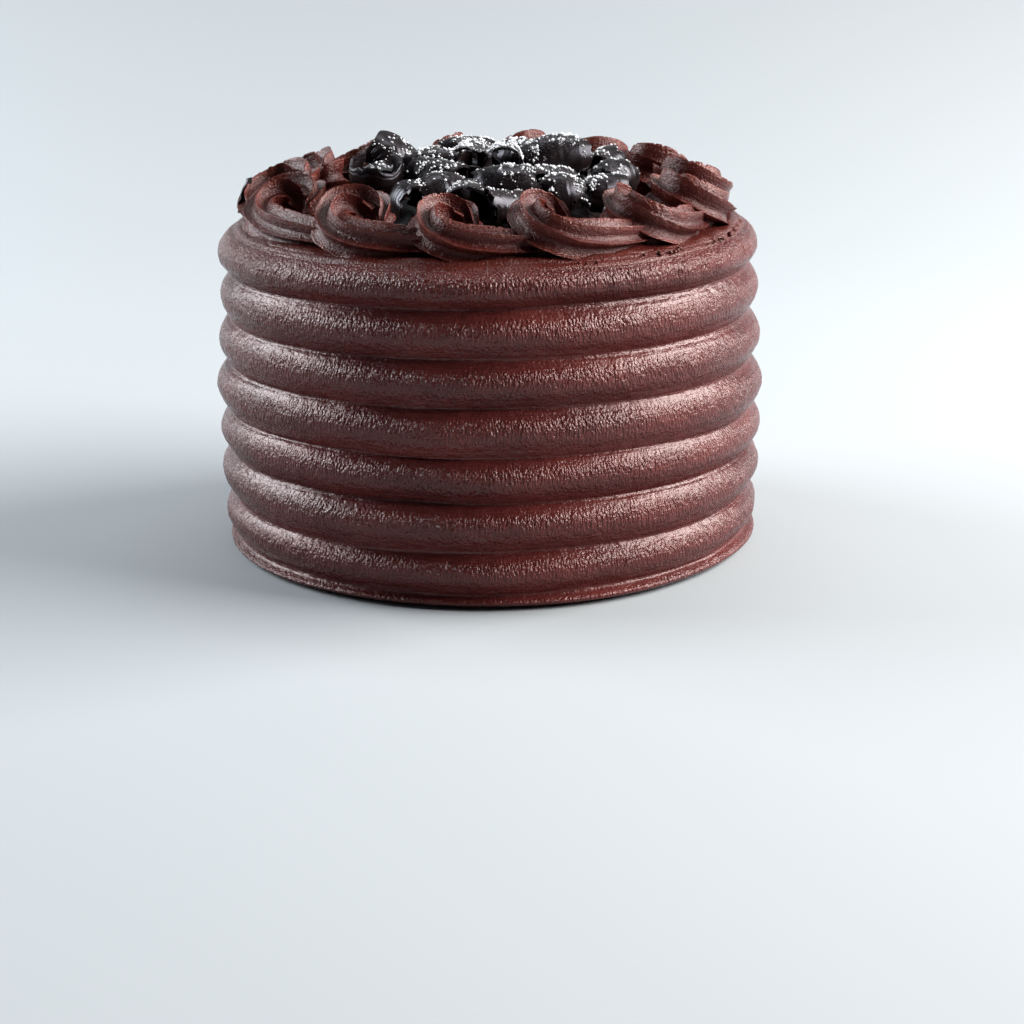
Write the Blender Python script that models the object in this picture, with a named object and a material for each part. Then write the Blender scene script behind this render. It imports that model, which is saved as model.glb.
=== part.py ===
"""Tall round layer cake: combed icing, a ring of piped swirls and a heap of chocolate curls."""

import math

import bmesh
import bpy
import numpy as np
from mathutils import Euler, Matrix, Vector

# Shared sizes, in metres
GAP = 0.0003  # clearance between pieces that touch
TOP_HEIGHT = 0.1195  # flat top of the icing

# Combed side: valley heights from the base up, and the crest radius of each ridge between them
VALLEY_HEIGHTS = (0.0, 0.0049, 0.0203, 0.0363, 0.0521, 0.0692, 0.0867, 0.1042)
CREST_RADII = (0.1016, 0.1027, 0.1036, 0.1029, 0.1032, 0.1028, 0.1021)
RIDGE_DEPTH = 0.0044
SHOULDER_RADIUS = 0.1014
SHOULDER_CREST_HEIGHT = 0.1118
TOP_RADIUS = 0.0935
BODY_SIDES = 48
RIDGE_STEPS = 4
SIDE_WAVE = 0.0005  # how far the comb wandered in and out
VALLEY_WAVE = 0.0006  # how far it wandered up and down
FRONT_RISE = (0.0, 0.0, 0.0, 0.0012, 0.0022, 0.003, 0.0025, 0.002)  # each valley's climb to the front

# Piped swirls: where each stands round the cake, in degrees from the front
RING_RADIUS = 0.0752
SWIRL_ANGLES = (
    -67.0, -33.5, -6.0, 20.0, 48.0, 75.0, 100.0,
    125.0, 149.5, 174.0, 198.5, 222.5, 247.0, 269.5,
)
SWIRL_STATIONS = 14
SWIRL_RIBS = 7
RIB_DEPTH = 0.31  # depth of a trough as a share of the rope's radius
RIB_TWIST = math.radians(-40.0)  # the ribs lean outwards from the start to the tail
BACK_LIFT = 0.055  # half of how much taller the swirls at the back are
TAIL_REACH = 0.010  # the tail ends this far short of the next swirl's middle

# Heap of curls on the bare top
HEAP_RADIUS = 0.053
HEAP_HEIGHT = 0.015
HEAP_SIDES = 18
CURL_WALL = 0.0014
CURL_SIDES = 7
CURL_PINCH = 0.34  # how much narrower the ends of a curl that shows are than its middle
FLAKE_SWEEP = 150.0  # a curl that turns less than this, in degrees, is a flake
FLAKE_NARROWING = 0.7  # how much of a flake's width is gone at its left end
FILL_SPOTS = 64  # places tried for the curls that the front of the heap hides
FILL_CLEAR = 0.0138  # a place this near a curl that shows stays free
FILL_REACH = 0.0515  # the farthest of those curls from the middle
HEAP_REACH = 0.0585  # no curl passes this radius near the swirls

ICING_COLOR = (0.078, 0.029, 0.023, 1.0)
PIPED_COLOR = (0.083, 0.028, 0.021, 1.0)
CURL_COLOR = (0.018, 0.0105, 0.0095, 1.0)


def clear_scene():
    for thing in list(bpy.data.objects):
        bpy.data.objects.remove(thing, do_unlink=True)


def make_material(name, color, roughness):
    material = bpy.data.materials.new(name)
    material.use_nodes = True
    shader = material.node_tree.nodes["Principled BSDF"]
    shader.inputs["Base Color"].default_value = color
    shader.inputs["Roughness"].default_value = roughness
    shader.inputs["Metallic"].default_value = 0.0
    material.diffuse_color = color
    return material


def add_object(name, mesh, material=None):
    thing = bpy.data.objects.new(name, mesh)
    bpy.context.scene.collection.objects.link(thing)
    if material is not None:
        mesh.materials.clear()
        mesh.materials.append(material)
    return thing


def tidy_mesh(mesh, smooth_angle=math.radians(40.0)):
    """Faces turned outwards and shaded smooth across soft edges."""
    work = bmesh.new()
    work.from_mesh(mesh)
    bmesh.ops.recalc_face_normals(work, faces=work.faces)
    work.to_mesh(mesh)
    work.free()
    mesh.shade_smooth()
    mesh.set_sharp_from_angle(angle=smooth_angle)


def tube_mesh(name, rings):
    """Closed mesh through rings of points, with a flat cap at either end."""
    count, spokes = rings.shape[0], rings.shape[1]
    points = [tuple(point) for point in rings.reshape(-1, 3)]
    faces = []
    for ring in range(count - 1):
        for spoke in range(spokes):
            after = (spoke + 1) % spokes
            low, high = ring * spokes, (ring + 1) * spokes
            faces.append((low + spoke, low + after, high + after, high + spoke))
    faces.append(tuple(range(spokes - 1, -1, -1)))
    faces.append(tuple(range((count - 1) * spokes, count * spokes)))
    mesh = bpy.data.meshes.new(name)
    mesh.from_pydata(points, [], faces)
    tidy_mesh(mesh)
    return mesh


def ridge_profile():
    """Radius, height and ridge number of each point up the side: half an ellipse for each ridge."""
    points = []
    for ridge, crest in enumerate(CREST_RADII):
        low, high = VALLEY_HEIGHTS[ridge], VALLEY_HEIGHTS[ridge + 1]
        middle, half = (low + high) / 2, (high - low) / 2
        for step in range(RIDGE_STEPS):
            angle = math.pi * step / RIDGE_STEPS
            radius = crest - RIDGE_DEPTH * (1 - math.sin(angle))
            points.append((radius, middle - half * math.cos(angle), ridge))
    shoulder = len(CREST_RADII)
    low = VALLEY_HEIGHTS[shoulder]
    for step in range(3):
        angle = math.pi / 2 * step / 2
        radius = SHOULDER_RADIUS - RIDGE_DEPTH * (1 - math.sin(angle))
        height = SHOULDER_CREST_HEIGHT - (SHOULDER_CREST_HEIGHT - low) * math.cos(angle)
        points.append((radius, height, shoulder))
    for step in range(1, 4):
        angle = math.pi / 2 * step / 3
        radius = TOP_RADIUS + (SHOULDER_RADIUS - TOP_RADIUS) * math.cos(angle)
        rise = (TOP_HEIGHT - SHOULDER_CREST_HEIGHT) * math.sin(angle)
        points.append((radius, SHOULDER_CREST_HEIGHT + rise, shoulder))
    return points


def build_body(material):
    """Turned side with the comb's slow wander in it; base and top stay flat."""
    around = np.linspace(0.0, 2 * np.pi, BODY_SIDES, endpoint=False)
    rings = []
    for radius, height, ridge in ridge_profile():
        wander = SIDE_WAVE * np.sin(2 * around + 1.3 * ridge)
        wander += 0.5 * SIDE_WAVE * np.sin(5 * around + 2.1 * ridge)
        climb = np.interp(height, (*VALLEY_HEIGHTS, TOP_HEIGHT), (*FRONT_RISE, 0.0))
        lift = VALLEY_WAVE * np.sin(around + 0.9 * ridge) + climb * np.cos(around)
        if height <= 0.0 or height >= TOP_HEIGHT - 1e-6:
            lift = lift * 0.0
        reach = radius + wander
        column = (reach * np.sin(around), -reach * np.cos(around), height + lift)
        rings.append(np.stack(column, axis=1))
    return add_object("cake_body", tube_mesh("cake_body", np.array(rings)), material)


def smooth_through(rows, shares):
    """Rows of numbers joined by a Catmull-Rom curve, read at shares of its length from 0 to 1."""
    rows = np.array(rows)
    spot = shares * (len(rows) - 1)
    at = np.minimum(spot.astype(int), len(rows) - 2)
    part = (spot - at)[:, None]
    before = rows[np.maximum(at - 1, 0)]
    first, second = rows[at], rows[at + 1]
    after = rows[np.minimum(at + 2, len(rows) - 1)]
    line = 2 * first + (second - before) * part
    bend = (2 * before - 5 * first + 4 * second - after) * part**2
    twist = (3 * first - before - 3 * second + after) * part**3
    return 0.5 * (line + bend + twist)


def swirl_rows(next_gap):
    """The rope's way: along the ring, outwards, axis height, half width and half height, in mm.

    It starts high by the eye, goes round the inner, left and outer sides and thins to a tail.
    """
    tail = (next_gap - TAIL_REACH) * 1000
    return (
        (3.5, -2.0, 8.0, 2.2, 5.0),
        (0.5, -8.0, 11.2, 4.8, 9.0),
        (-7.4, -7.4, 11.8, 6.6, 10.8),
        (-12.2, 0.6, 10.8, 7.8, 11.6),
        (-8.8, 8.6, 8.6, 7.9, 9.8),
        (-0.5, 10.8, 7.0, 7.8, 8.0),
        (0.5 * (tail + 1.0), 9.6, 6.0, 6.9, 7.2),
        (tail, 6.6, 5.0, 5.0, 5.6),
    )


def swirl_rings(number, stations, spokes, ribs, grow):
    """Rings of points round one swirl's rope; ribs 0 gives the smooth rope that clears the ribs."""
    turn = math.radians(SWIRL_ANGLES[number])
    after = math.radians(SWIRL_ANGLES[(number + 1) % len(SWIRL_ANGLES)])
    next_gap = ((after - turn) % (2 * math.pi)) * RING_RADIUS
    size = 1.0 + 0.035 * math.sin(2.4 * number + 0.7)
    height = 0.975 - 0.02 * math.sin(3.1 * number + 1.9) + BACK_LIFT * (1 - math.cos(turn))
    rows = smooth_through(swirl_rows(next_gap), np.linspace(0.0, 1.0, stations)) / 1000
    along, outward = rows[:, 0] * size, rows[:, 1] * size
    outward = outward - along**2 / (2 * RING_RADIUS) * (along > 0)
    slope_along, slope_outward = np.gradient(along), np.gradient(outward)
    length = np.hypot(slope_along, slope_outward)
    side_along, side_outward = -slope_outward / length, slope_along / length
    angles = np.linspace(0.0, 2 * np.pi, spokes, endpoint=False)[None, :]
    share = np.ones((stations, spokes))
    if ribs:
        twist = RIB_TWIST * np.linspace(0.0, 1.0, stations)[:, None]
        angles = angles + twist
        trough = np.abs(np.sin(ribs * (angles - twist) / 2))
        share = 1.0 - RIB_DEPTH * trough
    half_width = rows[:, 3:4] * size * share + grow
    half_height = rows[:, 4:5] * height * share + grow
    across = half_width * np.cos(angles)
    ring_along = along[:, None] + side_along[:, None] * across
    ring_outward = RING_RADIUS + outward[:, None] + side_outward[:, None] * across
    up = TOP_HEIGHT + rows[:, 2:3] * height + half_height * np.sin(angles)
    x = ring_along * math.cos(turn) + ring_outward * math.sin(turn)
    y = ring_along * math.sin(turn) - ring_outward * math.cos(turn)
    return np.stack((x, y, up), axis=2)


def boolean_result(thing, others, operation, solver="EXACT"):
    """The thing's mesh after one Boolean with each of the others, modifiers applied."""
    for other in others:
        cut = thing.modifiers.new(operation.lower(), "BOOLEAN")
        cut.operation = operation
        cut.solver = solver
        cut.object = other
    view = bpy.context.evaluated_depsgraph_get()
    result = bpy.data.meshes.new_from_object(thing.evaluated_get(view))
    thing.modifiers.clear()
    thing.data = result


def keep_main_shell(mesh):
    """Loose scraps and the walls of sealed hollows are dropped, the largest shell stays."""
    work = bmesh.new()
    work.from_mesh(mesh)
    unseen = set(work.faces)
    shells = []
    while unseen:
        start = unseen.pop()
        shell, queue = [start], [start]
        while queue:
            face = queue.pop()
            for edge in face.edges:
                for near in edge.link_faces:
                    if near in unseen:
                        unseen.remove(near)
                        shell.append(near)
                        queue.append(near)
        shells.append(shell)
    shells.sort(key=lambda shell: sum(face.calc_area() for face in shell))
    for shell in shells[:-1]:
        bmesh.ops.delete(work, geom=shell, context="FACES")
    work.to_mesh(mesh)
    work.free()


def add_box(name, low, high):
    work = bmesh.new()
    bmesh.ops.create_cube(work, size=1.0)
    middle = [(a + b) / 2 for a, b in zip(low, high)]
    spread = [b - a for a, b in zip(low, high)]
    bmesh.ops.scale(work, vec=spread, verts=work.verts)
    bmesh.ops.translate(work, vec=middle, verts=work.verts)
    mesh = bpy.data.meshes.new(name)
    work.to_mesh(mesh)
    work.free()
    return add_object(name, mesh)


def remove_objects(things):
    for thing in things:
        bpy.data.objects.remove(thing, do_unlink=True)


def swirl_envelope(number):
    """Smooth rope just outside a swirl's ribs, used to cut what stands beside it."""
    spokes = 16
    outside = GAP + 0.0004
    rings = swirl_rings(number, SWIRL_STATIONS, spokes, 0, outside)
    name = f"envelope_{number + 1:02d}"
    return add_object(name, tube_mesh(name, rings))


def build_swirls(material):
    """Each swirl's tail ends where the head of the next one lies over it."""
    wide = 2 * RING_RADIUS
    floor = add_box("level_cutter", (-wide, -wide, 0.0), (wide, wide, TOP_HEIGHT + GAP))
    count = len(SWIRL_ANGLES)
    envelopes = [swirl_envelope(number) for number in range(count)]
    for number in range(count):
        rings = swirl_rings(number, SWIRL_STATIONS, 2 * SWIRL_RIBS, SWIRL_RIBS, 0.0)
        name = f"rosette_{number + 1:02d}"
        swirl = add_object(name, tube_mesh(name, rings), material)
        boolean_result(swirl, (floor, envelopes[(number + 1) % count]), "DIFFERENCE")
        keep_main_shell(swirl.data)
        tidy_mesh(swirl.data)
    remove_objects(envelopes + [floor])


def curl_mesh(name, radius, length, sweep, flare, ends=(-1, 1)):
    """Rolled shaving: an arc of wall along its own X axis, open downwards, wider to one end.

    A third ring among the ends gives a barrel, wider in its middle. A flake narrows to its left end.
    """
    pinch = CURL_PINCH if len(ends) > 2 else 0.0
    rings = []
    for end in ends:
        ring_radius = radius * (1 + flare * end - pinch * end**2)
        narrowing = FLAKE_NARROWING * ((1 - end) / 2) ** 1.6 if sweep < FLAKE_SWEEP else 0.0
        ring_sweep = sweep * (1 - narrowing)
        start = math.radians(90.0 - ring_sweep / 2)
        ring = []
        for wall in (0.0, CURL_WALL):
            turns = range(CURL_SIDES + 1) if wall == 0.0 else range(CURL_SIDES, -1, -1)
            for step in turns:
                angle = start + math.radians(ring_sweep) * step / CURL_SIDES
                reach = (ring_radius - wall) * (1 - 0.16 * step / CURL_SIDES)
                ring.append((end * length / 2, reach * math.cos(angle), reach * math.sin(angle)))
        rings.append(ring)
    return tube_mesh(name, np.array(rings))


# Curls that show, in mm and degrees: x, y, axis height, radius, length, sweep, heading, pitch, roll
CURLS = (
    (-7, -50, 132, 10.5, 15, 250, 90, 0, 0),
    (-17, -37, 134.5, 9.5, 20, 250, 35, 5, 0),
    (8, -33, 136.5, 11, 23, 240, -12, -3, -8),
    (27, -35, 133.5, 9.3, 17, 240, 20, 0, 5),
    (-29, -45, 133, 8.8, 12, 240, 110, 0, 0),
    (44, -25, 134, 7.5, 18, 250, 30, 0, 0),
    (48, -7, 135, 9, 20, 240, 60, 0, 0),
    (-4.7, -10.5, 137.2, 7.2, 18, 340, -90, -67, 180),
    (-21.5, -6, 142, 7, 20, 300, 3, 0, 30),
    (-40, -21, 140.5, 10, 12, 300, -90, -70, 180),
    (-37, 15, 132.5, 20, 19, 84, 20, -6, 34),
    (-7, 30, 140, 9, 18, 250, 5, 0, 0),
    (12, 22, 139.5, 8, 18, 250, -25, 8, 0),
    (26, 8, 141, 11, 24, 240, 10, -6, 0),
    (24, -4, 134.5, 7.5, 20, 280, 5, 0, 0),
    (43, 16, 137, 6, 10, 320, 80, 0, 0),
    (50, 22, 136, 8, 18, 200, 50, -15, 0),
    (12, -16, 137, 6, 14, 280, 60, 10, 0),
)


def fill_rows():
    """Further curls on a sunflower layout, laid along the ring's edge, clear of those that show."""
    rows = []
    for spot in range(FILL_SPOTS):
        reach = FILL_REACH * math.sqrt((spot + 1) / FILL_SPOTS)
        turn = spot * math.radians(137.508)
        x, y = reach * math.cos(turn), reach * math.sin(turn)
        taken = [math.hypot(x - row[0] / 1000, y - row[1] / 1000) for row in (*CURLS, *rows)]
        if min(taken) < FILL_CLEAR:
            continue
        radius = 8.2 + 1.3 * math.sin(2.3 * spot)
        height = 141.0 - 9.0 * (reach / FILL_REACH) ** 2
        heading = math.degrees(turn) + 90 + 30 * math.sin(1.9 * spot)
        length = 20 + 3 * math.sin(1.1 * spot)
        sweep = 240 + 30 * math.sin(2.9 * spot)
        row = (x * 1000, y * 1000, height, radius, length, sweep, heading, 8 * math.sin(spot), 0)
        rows.append(row)
    return rows


def curl_place(row):
    x, y, height = row[0] / 1000, row[1] / 1000, row[2] / 1000
    heading, pitch, roll = (math.radians(angle) for angle in row[6:9])
    turn = Euler((roll, pitch, heading), "XYZ").to_matrix().to_4x4()
    return Matrix.Translation(Vector((x, y, height))) @ turn


def drawn_in(mesh):
    """Corners that would reach a swirl slide back towards the middle of the heap."""
    for vertex in mesh.vertices:
        reach = math.hypot(vertex.co.x, vertex.co.y)
        if reach > HEAP_REACH:
            vertex.co.x *= HEAP_REACH / reach
            vertex.co.y *= HEAP_REACH / reach


def heap_core(material):
    """Low mound under the curls, flat below."""
    base = TOP_HEIGHT + GAP
    around = np.linspace(0.0, 2 * np.pi, HEAP_SIDES, endpoint=False)
    rings = []
    for share, rise in ((1.0, 0.0), (0.97, 0.35), (0.82, 0.66), (0.55, 0.88), (0.2, 1.0)):
        reach = HEAP_RADIUS * share * (1 + 0.03 * np.sin(3 * around))
        level = np.full(HEAP_SIDES, base + HEAP_HEIGHT * rise)
        rings.append(np.stack((reach * np.sin(around), -reach * np.cos(around), level), axis=1))
    return add_object("chocolate_curls", tube_mesh("chocolate_curls", np.array(rings)), material)


def build_heap(material):
    """Curls fused on the mound by one union on a collection."""
    heap = heap_core(material)
    loose = bpy.data.collections.new("loose_curls")
    bpy.context.scene.collection.children.link(loose)
    for number, row in enumerate((*CURLS, *fill_rows())):
        flare = 0.1 * math.sin(1.7 * number)
        ends = (-1, 0, 1) if number < len(CURLS) and abs(row[6]) < 70 else (-1, 1)
        mesh = curl_mesh(f"curl_{number:02d}", row[3] / 1000, row[4] / 1000, row[5], flare, ends)
        mesh.transform(curl_place(row))
        drawn_in(mesh)
        mesh.materials.append(material)
        loose.objects.link(bpy.data.objects.new(f"curl_{number:02d}", mesh))
    union = heap.modifiers.new("union", "BOOLEAN")
    union.operation = "UNION"
    union.operand_type = "COLLECTION"
    union.collection = loose
    union.solver = "MANIFOLD"
    view = bpy.context.evaluated_depsgraph_get()
    result = bpy.data.meshes.new_from_object(heap.evaluated_get(view))
    heap.modifiers.clear()
    heap.data = result
    remove_objects(list(loose.objects))
    bpy.data.collections.remove(loose)
    keep_main_shell(heap.data)
    tidy_mesh(heap.data, math.radians(35.0))


def build_stray(material):
    """One curl that stands on the outer flank of the swirl at the far left."""
    mesh = curl_mesh("stray_curl", 0.0085, 0.014, 100, 0.1)
    place = Matrix.Translation(Vector((-0.0955, 0.008, 0.1288)))
    turn = Euler((0.0, math.radians(80.0), math.radians(-25.0)), "XYZ").to_matrix().to_4x4()
    mesh.transform(place @ turn)
    stray = add_object("stray_curl", mesh, material)
    envelope = swirl_envelope(len(SWIRL_ANGLES) - 1)
    boolean_result(stray, (envelope,), "DIFFERENCE")
    remove_objects([envelope])
    keep_main_shell(stray.data)
    tidy_mesh(stray.data)


def build():
    clear_scene()
    icing = make_material("icing", ICING_COLOR, 0.42)
    piped = make_material("piped_icing", PIPED_COLOR, 0.5)
    chocolate = make_material("dark_chocolate", CURL_COLOR, 0.36)
    build_body(icing)
    build_swirls(piped)
    build_heap(chocolate)
    build_stray(chocolate)


build()
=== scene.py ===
import math

import bpy
import numpy as np
from mathutils import Euler, Matrix, Vector


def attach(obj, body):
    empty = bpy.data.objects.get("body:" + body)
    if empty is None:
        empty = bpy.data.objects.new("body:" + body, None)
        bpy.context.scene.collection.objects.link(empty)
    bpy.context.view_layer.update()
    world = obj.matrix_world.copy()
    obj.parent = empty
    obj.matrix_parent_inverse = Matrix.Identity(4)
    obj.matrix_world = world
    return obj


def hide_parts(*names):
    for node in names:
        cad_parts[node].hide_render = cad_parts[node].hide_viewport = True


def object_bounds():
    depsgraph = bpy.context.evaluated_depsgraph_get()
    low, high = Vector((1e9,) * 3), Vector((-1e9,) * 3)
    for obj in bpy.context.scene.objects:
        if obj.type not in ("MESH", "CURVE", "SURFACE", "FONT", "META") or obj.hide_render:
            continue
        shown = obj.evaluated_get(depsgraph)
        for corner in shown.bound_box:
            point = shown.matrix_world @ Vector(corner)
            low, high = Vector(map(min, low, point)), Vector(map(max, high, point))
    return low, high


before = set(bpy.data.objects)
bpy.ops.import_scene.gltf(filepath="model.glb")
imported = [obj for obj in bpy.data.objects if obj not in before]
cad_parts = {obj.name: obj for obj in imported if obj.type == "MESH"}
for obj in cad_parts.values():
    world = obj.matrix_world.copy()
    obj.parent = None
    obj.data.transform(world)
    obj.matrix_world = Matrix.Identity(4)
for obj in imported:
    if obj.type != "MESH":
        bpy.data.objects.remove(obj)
cadLow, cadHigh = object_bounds()
print("frame loaded")


# helpers that the pieces share

def valueNoise(u, v, seed, wrap=256):
    # random numbers on whole-number corners, joined across each cell by part*part*(3 - 2*part);
    # wrap is the number of cells after which it repeats along u
    table = np.random.default_rng(seed).uniform(-1.0, 1.0, (256, 256))
    u, v = np.broadcast_arrays(np.asarray(u, float), np.asarray(v, float))
    baseU, baseV = np.floor(u), np.floor(v)
    partU, partV = u - baseU, v - baseV
    partU, partV = partU**2 * (3 - 2 * partU), partV**2 * (3 - 2 * partV)
    total = np.zeros(u.shape)
    for stepU, shareU in ((0, 1 - partU), (1, partU)):
        for stepV, shareV in ((0, 1 - partV), (1, partV)):
            cornerU = np.mod(baseU + stepU, wrap).astype(int)
            cornerV = np.mod(baseV + stepV, 256).astype(int)
            total += table[cornerU, cornerV] * shareU * shareV
    return total


def smoothStep(low, high, value):
    # 0 below low, 1 above high, part*part*(3 - 2*part) between
    part = np.clip((value - low) / (high - low), 0.0, 1.0)
    return part**2 * (3 - 2 * part)


def smoothThrough(rows, shares):
    # Catmull-Rom curve through the rows, read at shares of its length
    rows = np.array(rows, float)
    spot = shares * (len(rows) - 1)
    at = np.minimum(spot.astype(int), len(rows) - 2)
    part = (spot - at)[:, None]
    before, first = rows[np.maximum(at - 1, 0)], rows[at]
    second, after = rows[at + 1], rows[np.minimum(at + 2, len(rows) - 1)]
    line = 2 * first + (second - before) * part
    bend = (2 * before - 5 * first + 4 * second - after) * part**2
    twist = (3 * first - before - 3 * second + after) * part**3
    return 0.5 * (line + bend + twist)


def tubeFaces(rows, cols):
    # quads between neighbouring rings, and a fan from each end ring to its pole (the last two points)
    ring = np.arange(rows - 1)[:, None] * cols
    spoke = np.arange(cols)[None, :]
    after = (spoke + 1) % cols
    quads = np.stack((ring + spoke, ring + after, ring + cols + after, ring + cols + spoke), axis=2)
    first, last = rows * cols, rows * cols + 1
    far = (rows - 1) * cols
    startFan = np.stack((after[0], spoke[0], np.full(cols, first)), axis=1)
    endFan = np.stack((far + spoke[0], far + after[0], np.full(cols, last)), axis=1)
    return [quads.reshape(-1, 4), np.concatenate((startFan, endFan))]


def withPoles(rings):
    # the grid's points, then the middles of its first and last rings
    ends = np.stack((rings[0].mean(axis=0), rings[-1].mean(axis=0)))
    return np.concatenate((rings.reshape(-1, 3), ends))


def facingOut(points, faces):
    # the sum of corner . (edge x edge) is six times the volume; where it is negative all faces turn over
    volume = 0.0
    for block in faces:
        corner = points[block[:, 0]]
        for step in range(1, block.shape[1] - 1):
            cross = np.cross(points[block[:, step]], points[block[:, step + 1]])
            volume += float((corner * cross).sum())
    return faces if volume > 0 else [block[:, ::-1] for block in faces]


def addPiece(name, points, faces, finish, values=None, sharpAngle=None, cornerUv=None):
    # one mesh object at the origin; values holds named numbers for each point
    mesh = bpy.data.meshes.new(name)
    rows = [row for block in faces for row in block.tolist()]
    mesh.from_pydata(points.tolist(), [], rows)
    mesh.shade_smooth()
    if sharpAngle is not None:
        mesh.set_sharp_from_angle(angle=math.radians(sharpAngle))
    for label, numbers in (values or {}).items():
        layer = mesh.attributes.new(label, "FLOAT", "POINT")
        layer.data.foreach_set("value", np.asarray(numbers, np.float32).ravel())
    if cornerUv is not None:
        layer = mesh.uv_layers.new(name="alongRope")
        layer.data.foreach_set("uv", cornerUv.astype(np.float32).ravel())
    mesh.materials.append(finish)
    piece = bpy.data.objects.new(name, mesh)
    bpy.context.scene.collection.objects.link(piece)
    return piece


# finishes

def newFinish(name):
    # a new finish, its node tree and the shader that Blender puts in it
    finish = bpy.data.materials.new(name)
    finish.use_nodes = True
    return finish, finish.node_tree, finish.node_tree.nodes["Principled BSDF"]


def addNode(tree, kind, settings=None, inputs=None):
    # settings are the node's own options; inputs are numbers, colours or another node's output
    node = tree.nodes.new(kind)
    for label, value in (settings or {}).items():
        setattr(node, label, value)
    for label, value in (inputs or {}).items():
        if isinstance(value, bpy.types.NodeSocket):
            tree.links.new(value, node.inputs[label])
        else:
            node.inputs[label].default_value = value
    return node


def blendColours(tree, share, first, second):
    # first * (1 - share) + second * share
    node = addNode(tree, "ShaderNodeMix", {"data_type": "RGBA"}, {0: share, 6: first, 7: second})
    return node.outputs[2]


def calculate(tree, operation, first, second=0.0, clamp=False):
    # one sum of two numbers or outputs
    settings = {"operation": operation, "use_clamp": clamp}
    return addNode(tree, "ShaderNodeMath", settings, {0: first, 1: second}).outputs[0]


def remap(tree, value, low, high, newLow=0.0, newHigh=1.0):
    # low..high drawn out to newLow..newHigh, held at both ends
    node = addNode(tree, "ShaderNodeMapRange", {"clamp": True}, {
        "Value": value, "From Min": low, "From Max": high, "To Min": newLow, "To Max": newHigh})
    return node.outputs[0]


def pointNumber(tree, label):
    # a number that the piece's own points carry
    return addNode(tree, "ShaderNodeAttribute", {"attribute_name": label}).outputs["Fac"]


def noiseOn(tree, vector, scale, stretch=(1.0, 1.0, 1.0), detail=2.0, roughness=0.5):
    # soft noise from 0 to 1; a larger stretch squeezes it along that axis
    mapped = addNode(tree, "ShaderNodeMapping", None, {"Vector": vector, "Scale": stretch})
    node = addNode(tree, "ShaderNodeTexNoise", None, {
        "Vector": mapped.outputs[0], "Scale": scale, "Detail": detail, "Roughness": roughness})
    return node.outputs[0]


def bumpFrom(tree, height, strength, distance, under=None):
    # a height of up to distance metres, laid over the bumps under it
    inputs = {"Height": height, "Strength": strength, "Distance": distance}
    node = addNode(tree, "ShaderNodeBump", None, inputs)
    if under is not None:
        tree.links.new(under, node.inputs["Normal"])
    return node.outputs[0]


icingLook = {
    "dark": (0.057, 0.0102, 0.0094, 1.0),
    "light": (0.118, 0.022, 0.019, 1.0),
    "roughLow": 0.20,
    "roughHigh": 0.34,
    "pebbleScale": 1200.0,
    "pebbleHeight": 0.0011,
    "dragHeight": 0.0004,
    "lumpHeight": 0.0011,
    "ior": 1.47,
    "glossTint": (1.0, 0.80, 0.77, 1.0),
}


def makeIcingFinish():
    # satin buttercream: pebbles where the comb left the crests, level drag grain in the hollows
    look = icingLook
    finish, tree, shader = newFinish("combed_icing")
    place = addNode(tree, "ShaderNodeTexCoord").outputs["Object"]
    combed = pointNumber(tree, "combed")
    patches = noiseOn(tree, place, 28.0, (1.0, 1.0, 2.5), 3.0)
    grain = noiseOn(tree, place, 160.0, (1.0, 1.0, 9.0), 3.0, 0.6)
    patchPart = calculate(tree, "MULTIPLY", patches, 0.6)
    grainPart = calculate(tree, "MULTIPLY", grain, 0.4)
    tone = calculate(tree, "ADD", patchPart, grainPart)
    colour = blendColours(tree, remap(tree, tone, 0.35, 0.65), look["dark"], look["light"])
    tree.links.new(colour, shader.inputs["Base Color"])
    rough = remap(tree, grain, 0.3, 0.7, look["roughLow"], look["roughHigh"])
    tree.links.new(rough, shader.inputs["Roughness"])
    pebbles = noiseOn(tree, place, look["pebbleScale"], (1.0, 1.0, 0.42), 1.5, 0.45)
    pebbles = calculate(tree, "MULTIPLY", pebbles, remap(tree, combed, 0.0, 1.0, 0.22, 1.0))
    bumps = bumpFrom(tree, noiseOn(tree, place, 240.0, (1.0, 1.0, 1.0), 2.0), 0.5, look["lumpHeight"])
    bumps = bumpFrom(tree, grain, 0.7, look["dragHeight"], bumps)
    bumps = bumpFrom(tree, pebbles, 1.0, look["pebbleHeight"], bumps)
    tree.links.new(bumps, shader.inputs["Normal"])
    shader.inputs["IOR"].default_value = look["ior"]
    shader.inputs["Specular Tint"].default_value = look["glossTint"]
    return finish


pipedLook = {
    "dark": (0.052, 0.0066, 0.0058, 1.0),
    "light": (0.165, 0.034, 0.023, 1.0),
    "roughLow": 0.20,
    "roughHigh": 0.34,
    "pitHeight": 0.00055,
    "dragHeight": 0.00035,
    "ior": 1.47,
    "glossTint": (1.0, 0.80, 0.77, 1.0),
}


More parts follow.
